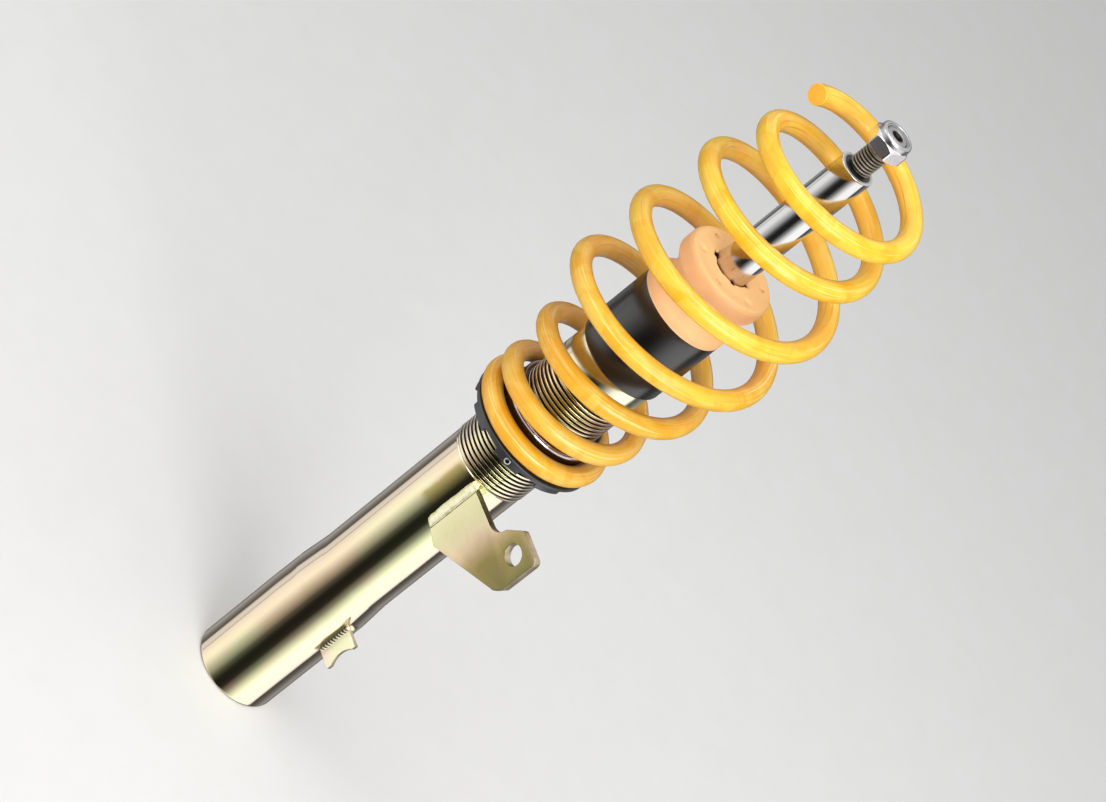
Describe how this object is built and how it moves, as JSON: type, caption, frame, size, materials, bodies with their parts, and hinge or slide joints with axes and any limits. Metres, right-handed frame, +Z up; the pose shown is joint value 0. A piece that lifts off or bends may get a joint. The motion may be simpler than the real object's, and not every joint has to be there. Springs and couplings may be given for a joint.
{
  "type": "coilover strut",
  "caption": "Threaded coilover strut with a barrel coil spring on a screwed seat collar, a foam bump stop in a dust sleeve, a piston rod with a lock nut and a link bracket",
  "frame": {"origin": "on the strut axis, at the middle of the part of the foot that the hub carrier clamps", "axes": "+Z runs up the strut axis from the foot to the rod's nut, the link bracket and the locating lug stand out along +X, and the bracket's flat face looks along -Y"},
  "size_m": [0.1449, 0.1279, 0.5382],
  "materials": {
    "zinc_gold": "yellow passivated zinc, glossy champagne gold with faint green and pink tints",
    "zinc_plate": "yellow passivated zinc plate, pale gold with green and pink tints",
    "bare_steel": "bare machined steel",
    "bush_bronze": "bronze backed bush",
    "seal_rubber": "black nitrile rubber",
    "collar_black": "black composite with a satin skin",
    "screw_steel": "bright steel",
    "spring_yellow": "glossy yellow powder coat, turning orange toward the lower turns",
    "foam_peach": "matt microcellular foam, peach",
    "sleeve_black": "charcoal satin plastic",
    "rod_chrome": "hard chrome, mirror polished",
    "band_plastic": "filled slide plastic",
    "nut_zinc": "bright zinc plate",
    "nut_nylon": "grey nylon"
  },
  "bodies": {
    "strut": {"strut_tube": "zinc_gold", "base_cap": "zinc_gold", "link_bracket": "zinc_plate", "bracket_weld": "zinc_plate", "locating_lug": "zinc_plate", "lug_weld": "zinc_plate", "cylinder_tube": "bare_steel", "foot_valve": "bare_steel", "rod_guide": "bare_steel", "guide_bush": "bush_bronze", "rod_seal": "seal_rubber", "gland_ring": "bare_steel"},
    "spring": {"coil_spring": "spring_yellow"},
    "collar": {"spring_collar": "collar_black", "lock_screw": "screw_steel"},
    "band": {"piston_band": "band_plastic"},
    "rod": {"piston_rod": "rod_chrome", "stop_ring": "bare_steel", "piston": "bare_steel", "shim_stack": "bare_steel", "piston_nut": "bare_steel", "top_nut": "nut_zinc", "nut_insert": "nut_nylon"},
    "bump": {"bump_stop": "foam_peach", "dust_sleeve": "sleeve_black"}
  },
  "joints": [
    {"name": "ride_height", "type": "slide", "parent": "strut", "child": "spring", "axis": [0, 0, 1], "range_m": [-0.024, 0.02]},
    {"name": "collar_turn", "type": "hinge", "parent": "spring", "child": "collar", "pos_m": [0, 0, 0.222], "axis": [0, 0, 1], "range_deg": [-2881, 2401]},
    {"name": "rod_stroke", "type": "slide", "parent": "strut", "child": "band", "axis": [0, 0, 1], "range_m": [-0.09, 0], "stiffness_N_per_m": 400, "springref_m": 0.25},
    {"name": "rod_turn", "type": "hinge", "parent": "band", "child": "rod", "pos_m": [0, 0, 0.367], "axis": [0, 0, 1], "continuous": true},
    {"name": "bump_slide", "type": "slide", "parent": "strut", "child": "bump", "axis": [0, 0, 1], "range_m": [0, 0.02]}
  ],
  "couplings": [
    {"joint": "collar_turn", "follows": "ride_height", "rad_per_m": 2094.4}
  ]
}
